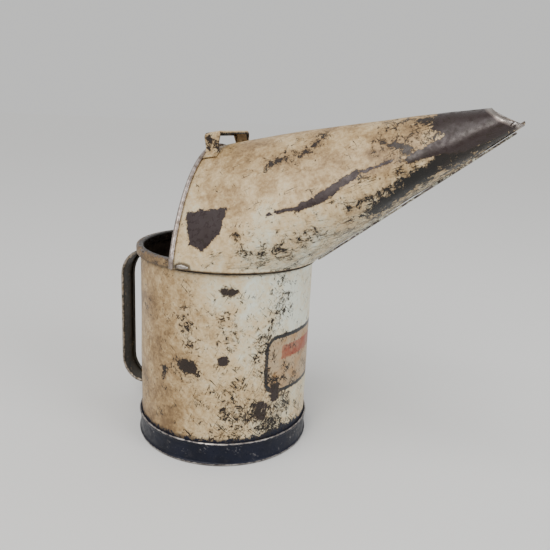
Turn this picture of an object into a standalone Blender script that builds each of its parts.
"""A handy oiler can: a round tinplate measure with a hood that draws in to a long pouring spout.

Lengths in the constants are millimetres; new_object scales them to metres. The can stands on
the ground plane, +Z up, and pours towards +X. Every piece is parented to the empty can_axis.
"""
import math

import bmesh
import bpy
import numpy as np
from mathutils import Matrix, Vector

MM = 0.001
TURN = 2 * math.pi
SIDES = 60                      # facets round the can
GAP = 0.3                       # clearance between pieces that touch

# The can
BODY_RADIUS = 54.8
SHEET = 0.75                    # tinplate thickness
BODY_BOTTOM = 1.1
BODY_TOP = 125.0
SEAM_WIDTH = 5.0
SEAM_THICKNESS = 0.6

# The folded rim band
RIM_RADIUS = 57.5
RIM_TOP = 126.3
RIM_BOTTOM = 121.0
RIM_WIRE_RADIUS = 0.65

# The foot and the base
FOOT_RADIUS = 55.75                        # outer face of the foot's wall
FOOT_HEIGHT = 15.3
FOOT_SHEET = 0.6
FOOT_BEAD = 1.0                            # radius of the beads pressed round the foot
FOOT_BEAD_PROUD = 0.75                     # how far the beads stand out from the wall
BASE_HEIGHT = 4.2

# The hood and spout
HOOD_RADIUS = RIM_RADIUS + 0.35            # inner face of the skirt that clasps the rim
HOOD_FLARE = 1.2                           # how far the rear corners stand off the rim
FLARE_FROM = math.radians(72.0)
ARCH_HALF_WIDTH = HOOD_RADIUS + HOOD_FLARE
SKIRT_BOTTOM = 122.2
CORNER_HEIGHT = 127.0                      # where the rear arch springs from the skirt
FRONT_HEIGHT = 123.0                       # where the underside leaves the skirt
ARCH_HEIGHT = 59.5
ARCH_LEAN = math.radians(8.0)
ARCH_POWER = 1.08
MOUTH_TOP = (150.6, 215.2)                 # x and z of the top of the spout's mouth
MOUTH_TIP = (166.4, 208.6)                 # x and z of the lip
MOUTH_HALF_WIDTH = 7.6
MOUTH_SCOOP = 0.62                         # below 1, the cut of the mouth is hollow
LIP_CURL = 1.7                             # how far the lip's left corner is turned up
LIP_CURL_ANGLE = math.radians(166.0)       # where that corner is, round the mouth from its top
LIP_CURL_SPREAD = 0.22
TOP_CROWN = 2.0                            # how far the top of the spout bows upwards
ARCH_COLUMNS = 13                          # facets of half the hood along the arch
RIM_COLUMNS = 13                           # and along the rim
RULING_STEPS = (0.0, 0.15, 0.38, 0.68, 1.0)
EDGE_ROLL = 1.5                            # outer radius of the rolled edge of the arch
EDGE_WIRE_RADIUS = 0.45
EDGE_WIRE_OVERHANG = 1.0                   # how far the wire shows below the roll
ARCH_INSIDE = Vector((0, 0, 150))          # a point under the arch
CORNER_TILT = 0.18                         # slope of the sheet just in front of a rear corner
RIB_WIDTH = 3.8
RIB_THICKNESS = 1.0
RIB_CHAMFER = 0.6
RIB_SHARES = (0.045, 0.5, 0.965)           # from the skirt to the lip
CORNER_TAB_FROM, CORNER_TAB_TO = 87.8, 80.4    # degrees round from the spout
CORNER_TAB_THICKNESS = 0.7
CORNER_TAB_HALF_HEIGHT = 1.3
CORNER_TAB_RAISE = 1.5                     # of its middle, above the skirt's lower edge

# The handle
HANDLE_REACH = 83.5                        # outer face, from the can's axis
HANDLE_WIDTH = 13.8
HANDLE_TOP = 114.4
HANDLE_BOTTOM = 15.0
HANDLE_TOP_BEND = 22.0
HANDLE_BOTTOM_BEND = 16.0
HANDLE_SHEET = 0.55
HANDLE_ROLL = 1.15
HANDLE_WIRE_RADIUS = 0.3
HANDLE_FOOT_RAISE = 0.7                    # of the lower run where it meets the can
HANDLE_FLAT_TOP = Vector((-1.0, 0))        # runs left flat before the edges are rolled
HANDLE_FLAT_BOTTOM = Vector((-3.2, -0.1))
HANDLE_SOLDER_WIDTH = 2.6
TAB_FACE = BODY_RADIUS + GAP + SEAM_THICKNESS + GAP + HANDLE_SHEET
TAB_TOP = 120.3
TAB_FOOT = 27.0
TAB_BEND = 2.0

# The hanging loop on the hood
LOOP_HALF_SPAN = 18.2
LOOP_REAR = -7.0
LOOP_WIDTH = 11.0
LOOP_TOP = 196.2
LOOP_SHEET = 0.5
LOOP_ROLL = 1.0
LOOP_WIRE_RADIUS = 0.2
LOOP_BEND = 2.6
LOOP_FOOT = 3.8
LOOP_FOOT_BEND = 0.9
LOOP_FLAT = 1.4                            # length of each post before its edges are rolled
LOOP_SLOPE = math.tan(math.radians(10.4))  # of the hood's top line under the loop
LOOP_LIFT = SHEET / math.cos(0.6) + GAP + LOOP_SHEET + 0.55    # feet above the sheet's inner face

SPOUT_REACH = MOUTH_TIP[0] + 0.45         # the lip's foremost edge, from the can's axis
CAN_X = (HANDLE_REACH - SPOUT_REACH) / 2   # puts the origin under the middle of the whole object

# Colour, roughness and metallic value of each finish
CREAM_PAINT = ((0.62, 0.52, 0.38), 0.42, 0.0)
NAVY_PAINT = ((0.020, 0.022, 0.035), 0.38, 0.0)
BARE_STEEL = ((0.42, 0.37, 0.32), 0.36, 1.0)
DARK_TIN = ((0.10, 0.085, 0.075), 0.45, 0.9)
SOLDER = ((0.36, 0.34, 0.32), 0.48, 1.0)


def clear_scene():
    for obj in list(bpy.data.objects):
        bpy.data.objects.remove(obj, do_unlink=True)


def finish_material(name, finish):
    colour, roughness, metallic = finish
    material = bpy.data.materials.new(name)
    material.use_nodes = True
    shader = material.node_tree.nodes["Principled BSDF"]
    shader.inputs["Base Color"].default_value = (*colour, 1.0)
    shader.inputs["Roughness"].default_value = roughness
    shader.inputs["Metallic"].default_value = metallic
    return material


def new_object(name, bm, finish, axis):
    """Turn a bmesh in millimetres into a smooth-shaded object on the can's axis."""
    bmesh.ops.scale(bm, vec=(MM, MM, MM), verts=bm.verts)
    mesh = bpy.data.meshes.new(name)
    bm.to_mesh(mesh)
    bm.free()
    mesh.shade_smooth()
    mesh.set_sharp_from_angle(angle=math.radians(40))
    mesh.materials.append(finish_material(name + "_finish", finish))
    obj = bpy.data.objects.new(name, mesh)
    obj.parent = axis
    bpy.context.collection.objects.link(obj)
    return obj


def arc(centre, radius, start, end, steps):
    """Points on an arc, with its angles in degrees."""
    angles = np.radians(np.linspace(start, end, steps + 1))
    return [(centre[0] + radius * math.cos(a), centre[1] + radius * math.sin(a)) for a in angles]


def thicken(path, thickness):
    """Close an open path into the section of a sheet that lies on the path's right."""
    points = [Vector(p) for p in path]
    steps = [(b - a).normalized() for a, b in zip(points, points[1:])]
    back = []
    for i, point in enumerate(points):
        before = steps[max(i - 1, 0)]
        after = steps[min(i, len(steps) - 1)]
        along = (before + after).normalized()
        right = Vector((along.y, -along.x))
        back.append(point + right * thickness / along.dot(after))
    return [tuple(p) for p in points + back[::-1]]


def turned(name, outline, finish, axis):
    """Turn an outline of (radius, height) points about the can's axis."""
    bm = bmesh.new()
    verts = [bm.verts.new((radius, 0, height)) for radius, height in outline]
    edges = []
    for a, b in zip(verts, verts[1:] + verts[:1]):
        if a.co.x > 0 or b.co.x > 0:
            edges.append(bm.edges.new((a, b)))
    bmesh.ops.spin(bm, geom=verts + edges, cent=(0, 0, 0), axis=(0, 0, 1),
                   angle=TURN, steps=SIDES, use_merge=True, use_duplicate=False)
    bmesh.ops.remove_doubles(bm, verts=bm.verts, dist=1e-4)
    bmesh.ops.recalc_face_normals(bm, faces=bm.faces)
    return new_object(name, bm, finish, axis)


def swept(name, sections, finish, axis):
    """Bridge a row of matching sections into one closed body with capped ends."""
    bm = bmesh.new()
    rings = [[bm.verts.new(point) for point in section] for section in sections]
    count = len(rings[0])
    for ring, following in zip(rings, rings[1:]):
        for i in range(count):
            j = (i + 1) % count
            bm.faces.new((ring[i], ring[j], following[j], following[i]))
    caps = [bm.faces.new(rings[0]), bm.faces.new(rings[-1])]
    bmesh.ops.triangulate(bm, faces=caps, ngon_method="EAR_CLIP")
    bmesh.ops.recalc_face_normals(bm, faces=bm.faces)
    return new_object(name, bm, finish, axis)


def tube_sections(points, radius, sides):
    """Rings round a path of 3D points, carried along it without twist."""
    points = [Vector(p) for p in points]
    steps = [(b - a).normalized() for a, b in zip(points, points[1:])]
    across = steps[0].orthogonal().normalized()
    sections = []
    for i, point in enumerate(points):
        along = (steps[max(i - 1, 0)] + steps[min(i, len(steps) - 1)]).normalized()
        across = (across - along * across.dot(along)).normalized()
        up = along.cross(across)
        angles = [TURN * k / sides for k in range(sides)]
        sections.append([point + (across * math.cos(a) + up * math.sin(a)) * radius for a in angles])
    return sections


# ---------------------------------------------------------------- can, rim, foot and base

def make_body(axis):
    inner = BODY_RADIUS - SHEET
    outline = [(inner, BODY_BOTTOM), (BODY_RADIUS, BODY_BOTTOM),
               (BODY_RADIUS, BODY_TOP), (inner, BODY_TOP)]
    turned("body_shell", outline, CREAM_PAINT, axis)

    inside = BODY_RADIUS + GAP
    outside = inside + SEAM_THICKNESS
    sweep = SEAM_WIDTH / BODY_RADIUS
    angles = np.linspace(math.pi - sweep / 2, math.pi + sweep / 2, 4)
    section = [(inside * math.cos(a), inside * math.sin(a)) for a in angles]
    section += [(outside * math.cos(a), outside * math.sin(a)) for a in angles[::-1]]
    heights = (FOOT_HEIGHT + 2 * GAP, RIM_BOTTOM - 2 * GAP)
    sections = [[(x, y, z) for x, y in section] for z in heights]
    swept("body_side_seam", sections, CREAM_PAINT, axis)


def make_rim(axis):
    inner_leg = BODY_RADIUS - 2 * SHEET - GAP
    corner = 1.1
    curl = 1.0
    path = [(inner_leg, RIM_BOTTOM - 0.4)]
    path += arc((inner_leg + corner, RIM_TOP - corner), corner, 180, 90, 3)
    path += arc((RIM_RADIUS - corner, RIM_TOP - corner), corner, 90, 0, 3)
    path += arc((RIM_RADIUS - curl, RIM_BOTTOM + curl), curl, 0, -90, 3)
    path += [(BODY_RADIUS + 2 * GAP, RIM_BOTTOM)]
    turned("rim_band", thicken(path, SHEET * 0.9), CREAM_PAINT, axis)

    centre = (BODY_RADIUS + GAP + RIM_WIRE_RADIUS, BODY_TOP - RIM_WIRE_RADIUS)
    turned("rim_wire", arc(centre, RIM_WIRE_RADIUS, 0, 300, 5), BARE_STEEL, axis)


def make_foot(axis):
    bead, lower_bead = FOOT_BEAD, FOOT_BEAD + 0.2
    crest = FOOT_RADIUS + FOOT_BEAD_PROUD
    hem_radius = BODY_RADIUS - 2 * SHEET - 0.1
    path = arc((crest - bead, FOOT_HEIGHT - bead), bead, 118, -60, 6)
    path += [(FOOT_RADIUS, FOOT_HEIGHT - 2.4 * bead), (FOOT_RADIUS, 2.4 * lower_bead)]
    path += arc((crest - lower_bead, lower_bead), lower_bead, 60, -90, 5)
    path += [(hem_radius, 0.0)]
    turned("foot_band", thicken(path, FOOT_SHEET), NAVY_PAINT, axis)

    flange = BODY_RADIUS - SHEET - GAP
    shoulder = 1.4
    top = [(0.0, BASE_HEIGHT)]
    top += arc((flange - shoulder, BASE_HEIGHT - shoulder), shoulder, 90, 0, 3)
    top += [(flange, BODY_BOTTOM)]
    turned("base_pan", thicken(top, SHEET), DARK_TIN, axis)

    fillet = 1.3
    foot = BASE_HEIGHT + GAP
    turned("base_solder_bead", [(flange, foot), (flange, foot + fillet), (flange - fillet, foot)],
           SOLDER, axis)


# ---------------------------------------------------------------- hood and spout

def skirt_radius(angle):
    """Inner radius of the skirt, which stands off the rim towards its two rear corners."""
    share = np.clip((angle - FLARE_FROM) / (math.pi / 2 - FLARE_FROM), 0, 1)
    return HOOD_RADIUS + HOOD_FLARE * share ** 2


def arch_height(across):
    """Height of the leaning arch, measured in its own plane, at a distance from the middle."""
    return ARCH_HEIGHT * (1 - (across / ARCH_HALF_WIDTH) ** 2) ** (1 / ARCH_POWER)


def half_base_curve():
    """The hood's lower edge on the +Y side: down the leaning arch, then round the rim to the front."""
    across = ARCH_HALF_WIDTH * np.sin(np.linspace(0, math.pi / 2, 160))
    up = arch_height(across)
    arch = np.stack([-up * math.sin(ARCH_LEAN), across,
                     CORNER_HEIGHT + up * math.cos(ARCH_LEAN)], axis=1)
    turn = np.linspace(math.pi / 2, 0, 120)[1:]
    drop = CORNER_HEIGHT - FRONT_HEIGHT
    radius = skirt_radius(turn)
    rim = np.stack([radius * np.cos(turn), radius * np.sin(turn),
                    CORNER_HEIGHT - drop * np.cos(turn)], axis=1)
    return np.concatenate([arch, rim]), len(arch) - 1


def half_mouth(angle, scoop):
    """The mouth's rim on the +Y side, from its top at angle 0 to the lip at angle pi."""
    along = (1 - np.cos(angle)) / 2
    fall = np.power(along, scoop)
    return np.stack([MOUTH_TOP[0] + along * (MOUTH_TIP[0] - MOUTH_TOP[0]),
                     MOUTH_HALF_WIDTH * np.sin(angle),
                     MOUTH_TOP[1] + fall * (MOUTH_TIP[1] - MOUTH_TOP[1])], axis=1)


def matched_columns():
    """Pair points of the base with points of the mouth, as a sheet bent without stretching does.

    A plane that touches both curves meets them at the two ends of one straight line of the
    sheet. For each point of the mouth the plane through its tangent is tilted until it meets
    the base, and the pairs are then spread evenly round both curves.
    """
    base, corner = half_base_curve()
    angles = np.linspace(0, math.pi, 721)
    mouth = half_mouth(angles, 1.0)
    tangents = np.gradient(mouth, axis=0)
    tangents[[0, -1]] = (0, 1, 0), (0, -1, 0)
    facing = np.cross(mouth[360] - mouth[0], (0, 1, 0))
    facing /= np.linalg.norm(facing)
    if facing[0] < 0:
        facing = -facing
    travelled = np.concatenate([[0], np.cumsum(np.linalg.norm(np.diff(base, axis=0), axis=1))])
    middle = (mouth[0] + mouth[-1]) / 2
    reached = []
    for point, tangent in zip(mouth, tangents):
        outward = np.cross(tangent, facing)
        outward *= np.sign(outward @ (point - middle)) / np.linalg.norm(outward)
        tilt = ((base - point) @ outward) / -((base - point) @ facing)
        reached.append(travelled[np.argmax(tilt)])
    reached = np.maximum.accumulate(reached)
    measure = reached / travelled[-1] + 0.8 * angles / math.pi
    at_corner = np.interp(travelled[corner], reached, measure)
    even = np.concatenate([np.linspace(0, at_corner, ARCH_COLUMNS, endpoint=False),
                           np.linspace(at_corner, measure[-1], RIM_COLUMNS + 1)])
    column_angles = np.interp(even, measure, angles)
    column_reach = np.interp(even, measure, reached)
    column_reach[ARCH_COLUMNS] = travelled[corner]
    points = np.stack([np.interp(column_reach, travelled, base[:, k]) for k in range(3)], axis=1)
    on_rim = np.arange(len(even)) >= ARCH_COLUMNS
    return points, on_rim, column_angles


def hood_columns():
    """Base point, mouth point, angle and rim flag of each column, all the way round."""
    base, on_rim, angles = matched_columns()
    mouth = half_mouth(angles, MOUTH_SCOOP)
    flip = np.array([1, -1, 1])
    curl = LIP_CURL * np.exp(-((angles - LIP_CURL_ANGLE) / LIP_CURL_SPREAD) ** 2)
    left = mouth + np.stack([0 * curl, 0.5 * curl, curl], axis=1)
    last = len(base) - 1
    columns = [(base[i], left[i], angles[i], on_rim[i]) for i in range(last + 1)]
    columns += [(base[i] * flip, mouth[i] * flip, angles[i], on_rim[i])
                for i in range(last - 1, 0, -1)]
    return columns


def edge_stations(columns):
    """Origin, forward and outward directions along the arch's edge, from one skirt foot to the other."""
    arch = [c for c in columns if not c[3]]
    split = next(i for i, c in enumerate(arch) if c[0][1] < 0)
    ordered = arch[split:] + arch[:split]
    middle = [(Vector(c[0]), Vector(c[1]) - Vector(c[0])) for c in ordered]
    feet = {}
    for side in (-1, 1):
        foot = Vector((0, side * ARCH_HALF_WIDTH, SKIRT_BOTTOM))
        top = Vector((0, side * ARCH_HALF_WIDTH, CORNER_HEIGHT))
        feet[side] = [(foot, Vector((1, 0, 0))), (top, Vector((1, 0, CORNER_TILT)))]
    run = feet[-1] + middle + feet[1][::-1]
    stations = []
    for i, (origin, ruling) in enumerate(run):
        ahead = run[min(i + 1, len(run) - 1)][0]
        behind = run[max(i - 1, 0)][0]
        along = (ahead - behind).normalized()
        forward = (ruling - along * ruling.dot(along)).normalized()
        outward = along.cross(forward)
        if outward.dot(origin - ARCH_INSIDE) < 0:
            outward = -outward
        stations.append((origin, forward, outward))
    return stations


def make_hood(axis):
    """The wrapped hood: skirt, ruled cone and the edge rolled outwards round its wire."""
    columns = hood_columns()
    bm = bmesh.new()
    shared = {}

    def vert(point):
        key = tuple(round(float(c), 4) for c in point)
        if key not in shared:
            shared[key] = bm.verts.new(key)
        return shared[key]

    def face(corners):
        unique = list(dict.fromkeys(corners))
        if len(unique) > 2:
            bm.faces.new(unique)

    def ruling(column, step):
        base, mouth, angle, _ = column
        bow = TOP_CROWN * math.sin(math.pi * step ** 0.75) * (0.5 + 0.5 * math.cos(angle)) ** 2
        return base + (mouth - base) * step + np.array([0, 0, bow])

    count = len(columns)
    for i in range(count):
        first, second = columns[i], columns[(i + 1) % count]
        for low, high in zip(RULING_STEPS, RULING_STEPS[1:]):
            face([vert(ruling(first, low)), vert(ruling(first, high)),
                  vert(ruling(second, high)), vert(ruling(second, low))])
        if first[3] and second[3]:
            feet = [(*c[0][:2], SKIRT_BOTTOM) for c in (second, first)]
            face([vert(first[0]), vert(second[0]), vert(feet[0]), vert(feet[1])])

    rows = []
    stations = edge_stations(columns)
    roll = arc((0, 0), EDGE_ROLL, -90, -360, 7)
    for origin, forward, outward in stations:
        centre = origin + outward * EDGE_ROLL
        rows.append([vert(origin)] + [vert(centre + forward * a + outward * b) for a, b in roll[1:]])
    for row, following in zip(rows, rows[1:]):
        for i in range(len(row) - 1):
            face([row[i], following[i], following[i + 1], row[i + 1]])

    bmesh.ops.recalc_face_normals(bm, faces=bm.faces)
    crown = max(bm.faces, key=lambda f: f.calc_center_median().z)
    if crown.normal.z < 0:
        bmesh.ops.reverse_faces(bm, faces=bm.faces)
    hood = new_object("hood_spout_shell", bm, CREAM_PAINT, axis)
    solid = hood.modifiers.new("tinplate", "SOLIDIFY")
    solid.thickness = SHEET * MM
    solid.offset = 1.0

    wire = [origin + outward * EDGE_ROLL for origin, forward, outward in stations]
    for end in (0, -1):
        wire[end] = wire[end] - Vector((0, 0, EDGE_WIRE_OVERHANG))
    swept("hood_edge_wire", tube_sections(wire, EDGE_WIRE_RADIUS, 6), BARE_STEEL, axis)


def make_hood_trim(axis):
    """The seam rib under the spout, the corner tabs and the solder under the skirt."""
    start = Vector((HOOD_RADIUS, 0, FRONT_HEIGHT))
    end = Vector((MOUTH_TIP[0], 0, MOUTH_TIP[1]))
    along = (end - start).normalized()
    down = along.cross(Vector((0, 1, 0)))
    if down.z > 0:
        down = -down
    near, far = SHEET + GAP, SHEET + GAP + RIB_THICKNESS
    half = RIB_WIDTH / 2
    section = [(-half, near), (half, near), (half - RIB_CHAMFER, far), (RIB_CHAMFER - half, far)]
    sections = []
    for share in RIB_SHARES:
        origin = start.lerp(end, share)
        sections.append([origin + Vector((0, y, 0)) + down * depth for y, depth in section])
    swept("spout_seam_rib", sections, CREAM_PAINT, axis)

    for side, name in ((1, "left"), (-1, "right")):
        angles = np.radians(np.linspace(CORNER_TAB_FROM, CORNER_TAB_TO, 5))
        sections = []
        for k, a in enumerate(angles):
            inside = skirt_radius(a) + SHEET + GAP
            outside = inside + CORNER_TAB_THICKNESS
            half = CORNER_TAB_HALF_HEIGHT * math.sin(math.pi * (0.14 + 0.72 * k / 4))
            middle = SKIRT_BOTTOM + CORNER_TAB_RAISE
            corners = [(inside, middle - half), (outside, middle - half * 0.7),
                       (outside, middle + half * 0.7), (inside, middle + half)]
            sections.append([(r * math.cos(a), side * r * math.sin(a), z) for r, z in corners])
        swept("hood_corner_tab_" + name, sections, BARE_STEEL, axis)

    inside, outside = BODY_RADIUS + GAP, RIM_RADIUS - 0.2
    top = RIM_BOTTOM - GAP
    section = [(inside, top), (outside, top), (outside - 0.5, top - 0.5), (inside, top - 1.0)]
    sections = []
    for a in np.linspace(-math.pi / 2, math.pi / 2, SIDES // 2 + 1):
        sections.append([(r * math.cos(a), r * math.sin(a), z) for r, z in section])
    swept("hood_solder_line", sections, SOLDER, axis)


# ---------------------------------------------------------------- straps with rolled edges

def strap_outline(width, sheet, roll, rolled):
    """Section of a strap: flat, or with both edges rolled to the inner side.

    The first coordinate runs across the strap and the second points away from the outer face.
    Both forms have the same number of points, so one can follow the other along a strap.
    """
    if rolled:
        centre = (width / 2 - roll, -roll)
        outer = arc(centre, roll, 90, -165, 7)
        path = [(-x, y) for x, y in outer[::-1]] + outer
    else:
        spread = np.linspace(width / 2 - roll * 1.8, width / 2 - roll * 0.9, 8)
        path = [(-x, 0) for x in spread[::-1]] + [(x, 0) for x in spread]
    return thicken(path, sheet)


def path_with_bends(corners):
    """Points and directions of a path of straight runs and round bends in the (x, z) plane.

    Each corner is (x, z, bend radius, steps); the first and last have no bend.
    """
    points = [Vector(corners[0][:2])]
    for before, corner, after in zip(corners, corners[1:], corners[2:]):
        apex = Vector(corner[:2])
        back = (Vector(before[:2]) - apex).normalized()
        forth = (Vector(after[:2]) - apex).normalized()
        half = back.angle(forth) / 2
        radius, steps = corner[2:]
        centre = apex + (back + forth).normalized() * radius / math.sin(half)
        start = apex + back * radius / math.tan(half) - centre
        sweep = apex + forth * radius / math.tan(half) - centre
        turn = start.angle_signed(sweep)
        for k in range(steps + 1):
            points.append(centre + Matrix.Rotation(-turn * k / steps, 2) @ start)
    points.append(Vector(corners[-1][:2]))
    return points


def strap_stations(points):
    """Each point of a path with the direction that faces out of the bow, on the path's right."""
    stations = []
    for i, point in enumerate(points):
        along = points[min(i + 1, len(points) - 1)] - points[max(i - 1, 0)]
        along.normalize()
        stations.append((point, Vector((along.y, -along.x))))
    return stations


def make_handle(axis):
    reach, bend = HANDLE_REACH, TAB_BEND
    corners = [(-TAB_FACE, TAB_TOP),
               (-TAB_FACE, HANDLE_TOP, bend, 3),
               (-reach, HANDLE_TOP, HANDLE_TOP_BEND, 8),
               (-reach, HANDLE_BOTTOM, HANDLE_BOTTOM_BEND, 6),
               (-TAB_FACE, HANDLE_BOTTOM + HANDLE_FOOT_RAISE, bend, 3),
               (-TAB_FACE, TAB_FOOT)]
    points = path_with_bends(corners)
    flat_start, flat_end = 5, 5
    points.insert(flat_start, points[flat_start - 1] + HANDLE_FLAT_TOP)
    points.insert(len(points) - flat_end, points[-flat_end] + HANDLE_FLAT_BOTTOM)
    stations = strap_stations(points)
    flat = strap_outline(HANDLE_WIDTH, HANDLE_SHEET, HANDLE_ROLL, False)
    rolled = strap_outline(HANDLE_WIDTH, HANDLE_SHEET, HANDLE_ROLL, True)
    last = len(stations) - 1
    sections = []
    for i, (point, outward) in enumerate(stations):
        outline = rolled if flat_start < i < last - flat_end else flat
        sections.append([(point.x + outward.x * depth, across, point.y + outward.y * depth)
                         for across, depth in outline])
    swept("handle_strap", sections, CREAM_PAINT, axis)

    for side, name in ((1, "left"), (-1, "right")):
        across = side * (HANDLE_WIDTH / 2 - HANDLE_ROLL)
        wire = [(p.x - o.x * HANDLE_ROLL, across, p.y - o.y * HANDLE_ROLL)
                for p, o in stations[flat_start + 1:last - flat_end]]
        swept("handle_edge_wire_" + name, tube_sections(wire, HANDLE_WIRE_RADIUS, 6),
              BARE_STEEL, axis)

    edge = HANDLE_WIDTH / 2 - HANDLE_ROLL * 0.9
    for end, heights in (("upper", (TAB_TOP - 5.0, TAB_TOP - 0.4)),
                         ("lower", (TAB_FOOT - 8.0, TAB_FOOT - 0.4))):
        for side, name in ((1, "left"), (-1, "right")):
            inner, outer = edge + GAP, edge + GAP + HANDLE_SOLDER_WIDTH
            face = [(BODY_RADIUS + GAP, inner), (BODY_RADIUS + GAP, outer),
                    (TAB_FACE - 0.1, inner)]
            bead = [[(-math.sqrt(r * r - y * y), side * y, z) for r, y in face]
                    for z in heights]
            swept("handle_" + end + "_solder_" + name, bead, SOLDER, axis)


def make_loop(axis):
    """The loop that stands across the hood behind the spout, on two turned-out feet."""
    half = LOOP_HALF_SPAN
    middle_x = LOOP_REAR + LOOP_WIDTH / 2
    above = (middle_x + ARCH_HEIGHT * math.sin(ARCH_LEAN)) * LOOP_SLOPE
    level = CORNER_HEIGHT + LOOP_LIFT + above
    foot = level + arch_height(half) * math.cos(ARCH_LEAN)
    toe = level + arch_height(half + LOOP_FOOT) * math.cos(ARCH_LEAN)
    corners = [(half + LOOP_FOOT, toe), (half, foot, LOOP_FOOT_BEND, 2),
               (half, LOOP_TOP, LOOP_BEND, 4), (-half, LOOP_TOP, LOOP_BEND, 4),
               (-half, foot, LOOP_FOOT_BEND, 2), (-half - LOOP_FOOT, toe)]
    points = path_with_bends(corners)
    rolled_from = 4
    points.insert(rolled_from, points[rolled_from - 1] + Vector((0, LOOP_FLAT)))
    points.insert(len(points) - rolled_from, points[-rolled_from] + Vector((0, LOOP_FLAT)))
    stations = strap_stations(points)
    last = len(stations) - 1
    flat = strap_outline(LOOP_WIDTH, LOOP_SHEET, LOOP_ROLL, False)
    rolled = strap_outline(LOOP_WIDTH, LOOP_SHEET, LOOP_ROLL, True)

    def place(y, z, across):
        return (middle_x + across - (z - foot) * LOOP_SLOPE * 0.5, y, z + LOOP_SLOPE * across)

    sections = []
    for i, (point, outward) in enumerate(stations):
        outline = rolled if rolled_from < i < last - rolled_from else flat
        sections.append([place(point.x + outward.x * depth, point.y + outward.y * depth, across)
                         for across, depth in outline])
    swept("loop_strap", sections, CREAM_PAINT, axis)

    for side, name in ((1, "front"), (-1, "rear")):
        across = side * (LOOP_WIDTH / 2 - LOOP_ROLL)
        wire = [place(p.x - o.x * LOOP_ROLL, p.y - o.y * LOOP_ROLL, across)
                for p, o in stations[rolled_from + 1:last - rolled_from]]
        swept("loop_edge_wire_" + name, tube_sections(wire, LOOP_WIRE_RADIUS, 6),
              BARE_STEEL, axis)


def main():
    clear_scene()
    axis = bpy.data.objects.new("can_axis", None)
    axis.location = (CAN_X * MM, 0, 0)
    bpy.context.collection.objects.link(axis)
    make_body(axis)
    make_rim(axis)
    make_foot(axis)
    make_hood(axis)
    make_hood_trim(axis)
    make_handle(axis)
    make_loop(axis)


main()
